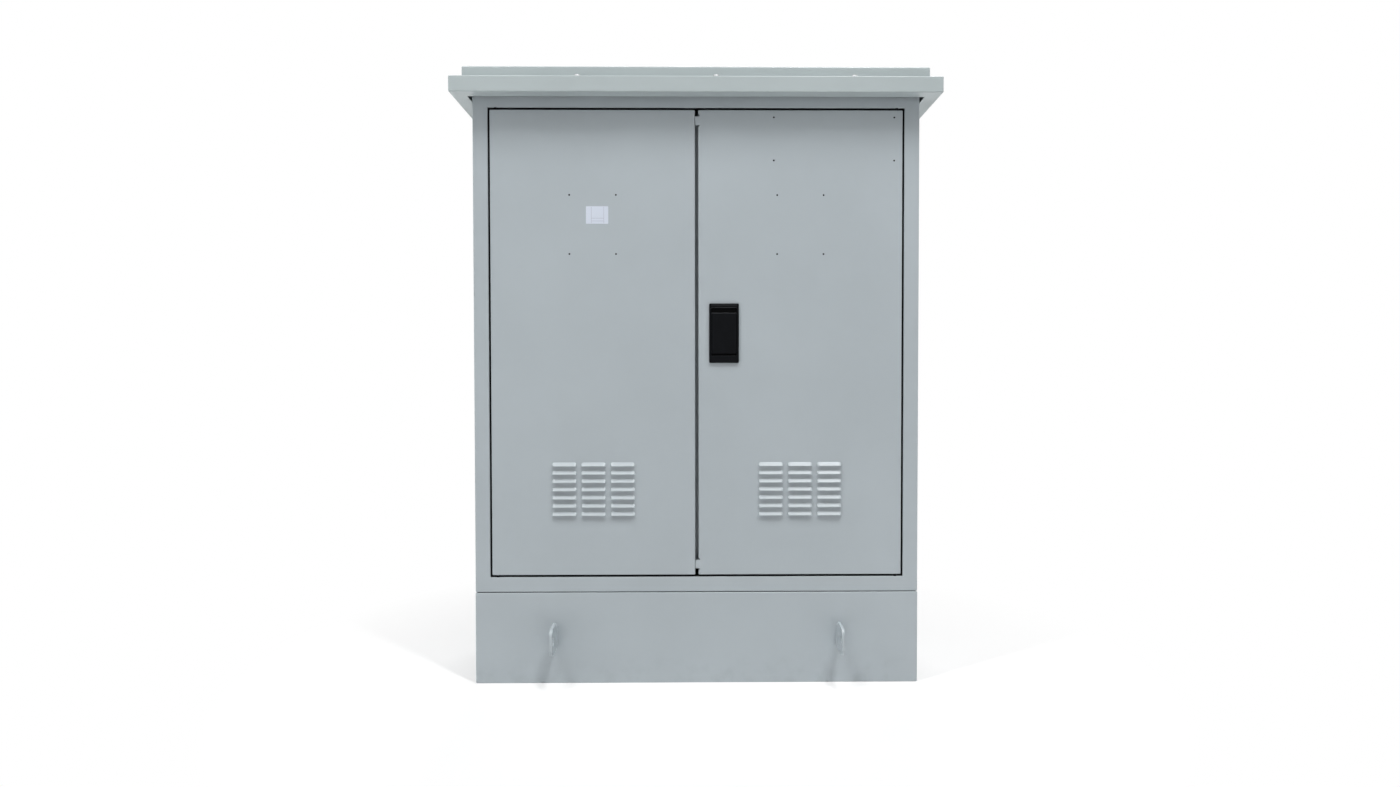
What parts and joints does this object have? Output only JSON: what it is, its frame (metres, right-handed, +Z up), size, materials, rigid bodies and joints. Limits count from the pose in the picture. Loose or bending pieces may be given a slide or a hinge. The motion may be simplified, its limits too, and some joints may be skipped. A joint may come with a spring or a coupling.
{
  "type": "outdoor electrical distribution cabinet",
  "caption": "Floor-standing outdoor sheet-steel cabinet with hinged double doors, pressed louvres, flush paddle latch, rain hood and a plinth with lifting lugs.",
  "frame": {"origin": "middle of the cabinet's footprint, at the plinth's lower edge", "axes": "+Z up, +Y towards the back, +X to the right as seen from the front; the doors face -Y"},
  "size_m": [1.3, 0.606, 1.655],
  "materials": {
    "painted_sheet": "satin light grey powder coat",
    "painted_roof": "satin light grey powder coat",
    "painted_plinth": "satin light grey powder coat, scuffed",
    "zinc": "bright zinc plate",
    "black_coat": "black satin coat",
    "seal_rubber": "matt black cellular rubber"
  },
  "bodies": {
    "cabinet": {"plinth_front": "painted_plinth", "plinth_back": "painted_plinth", "plinth_left": "painted_plinth", "plinth_right": "painted_plinth", "front_lugs": "painted_plinth", "back_lugs": "painted_plinth", "floor_pan": "painted_sheet", "gland_plate": "zinc", "left_wall": "painted_sheet", "right_wall": "painted_sheet", "back_wall": "painted_sheet", "top_plate": "painted_sheet", "left_stile": "painted_sheet", "right_stile": "painted_sheet", "top_rail": "painted_sheet", "bottom_rail": "painted_sheet", "centre_post": "painted_sheet", "door_seal": "seal_rubber", "roof_hood": "painted_roof", "roof_cap": "painted_roof", "roof_bolts": "zinc", "hinge_pins": "black_coat"},
    "left_leaf": {"left_door": "painted_sheet", "left_stiffeners": "painted_sheet", "left_hinge_blocks": "zinc"},
    "right_leaf": {"right_door": "painted_sheet", "right_stiffeners": "painted_sheet", "right_hinge_blocks": "zinc", "latch_escutcheon": "black_coat", "latch_pin": "black_coat", "lock_case": "zinc", "lock_rods": "zinc", "rod_guides": "zinc"},
    "paddle": {"latch_paddle": "black_coat"}
  },
  "joints": [
    {"name": "left_door_hinge", "type": "hinge", "parent": "cabinet", "child": "left_leaf", "pos_m": [-0.539, -0.2195, 0.295], "axis": [0, 0, -1], "range_deg": [0, 120]},
    {"name": "right_door_hinge", "type": "hinge", "parent": "cabinet", "child": "right_leaf", "pos_m": [0.539, -0.2195, 0.295], "axis": [0, 0, 1], "range_deg": [0, 120]},
    {"name": "paddle_hinge", "type": "hinge", "parent": "right_leaf", "child": "paddle", "pos_m": [0.0735, -0.226, 0.897], "axis": [1, 0, 0], "range_deg": [0, 40], "stiffness_Nm_per_rad": 0.5, "springref_deg": -11.46}
  ]
}
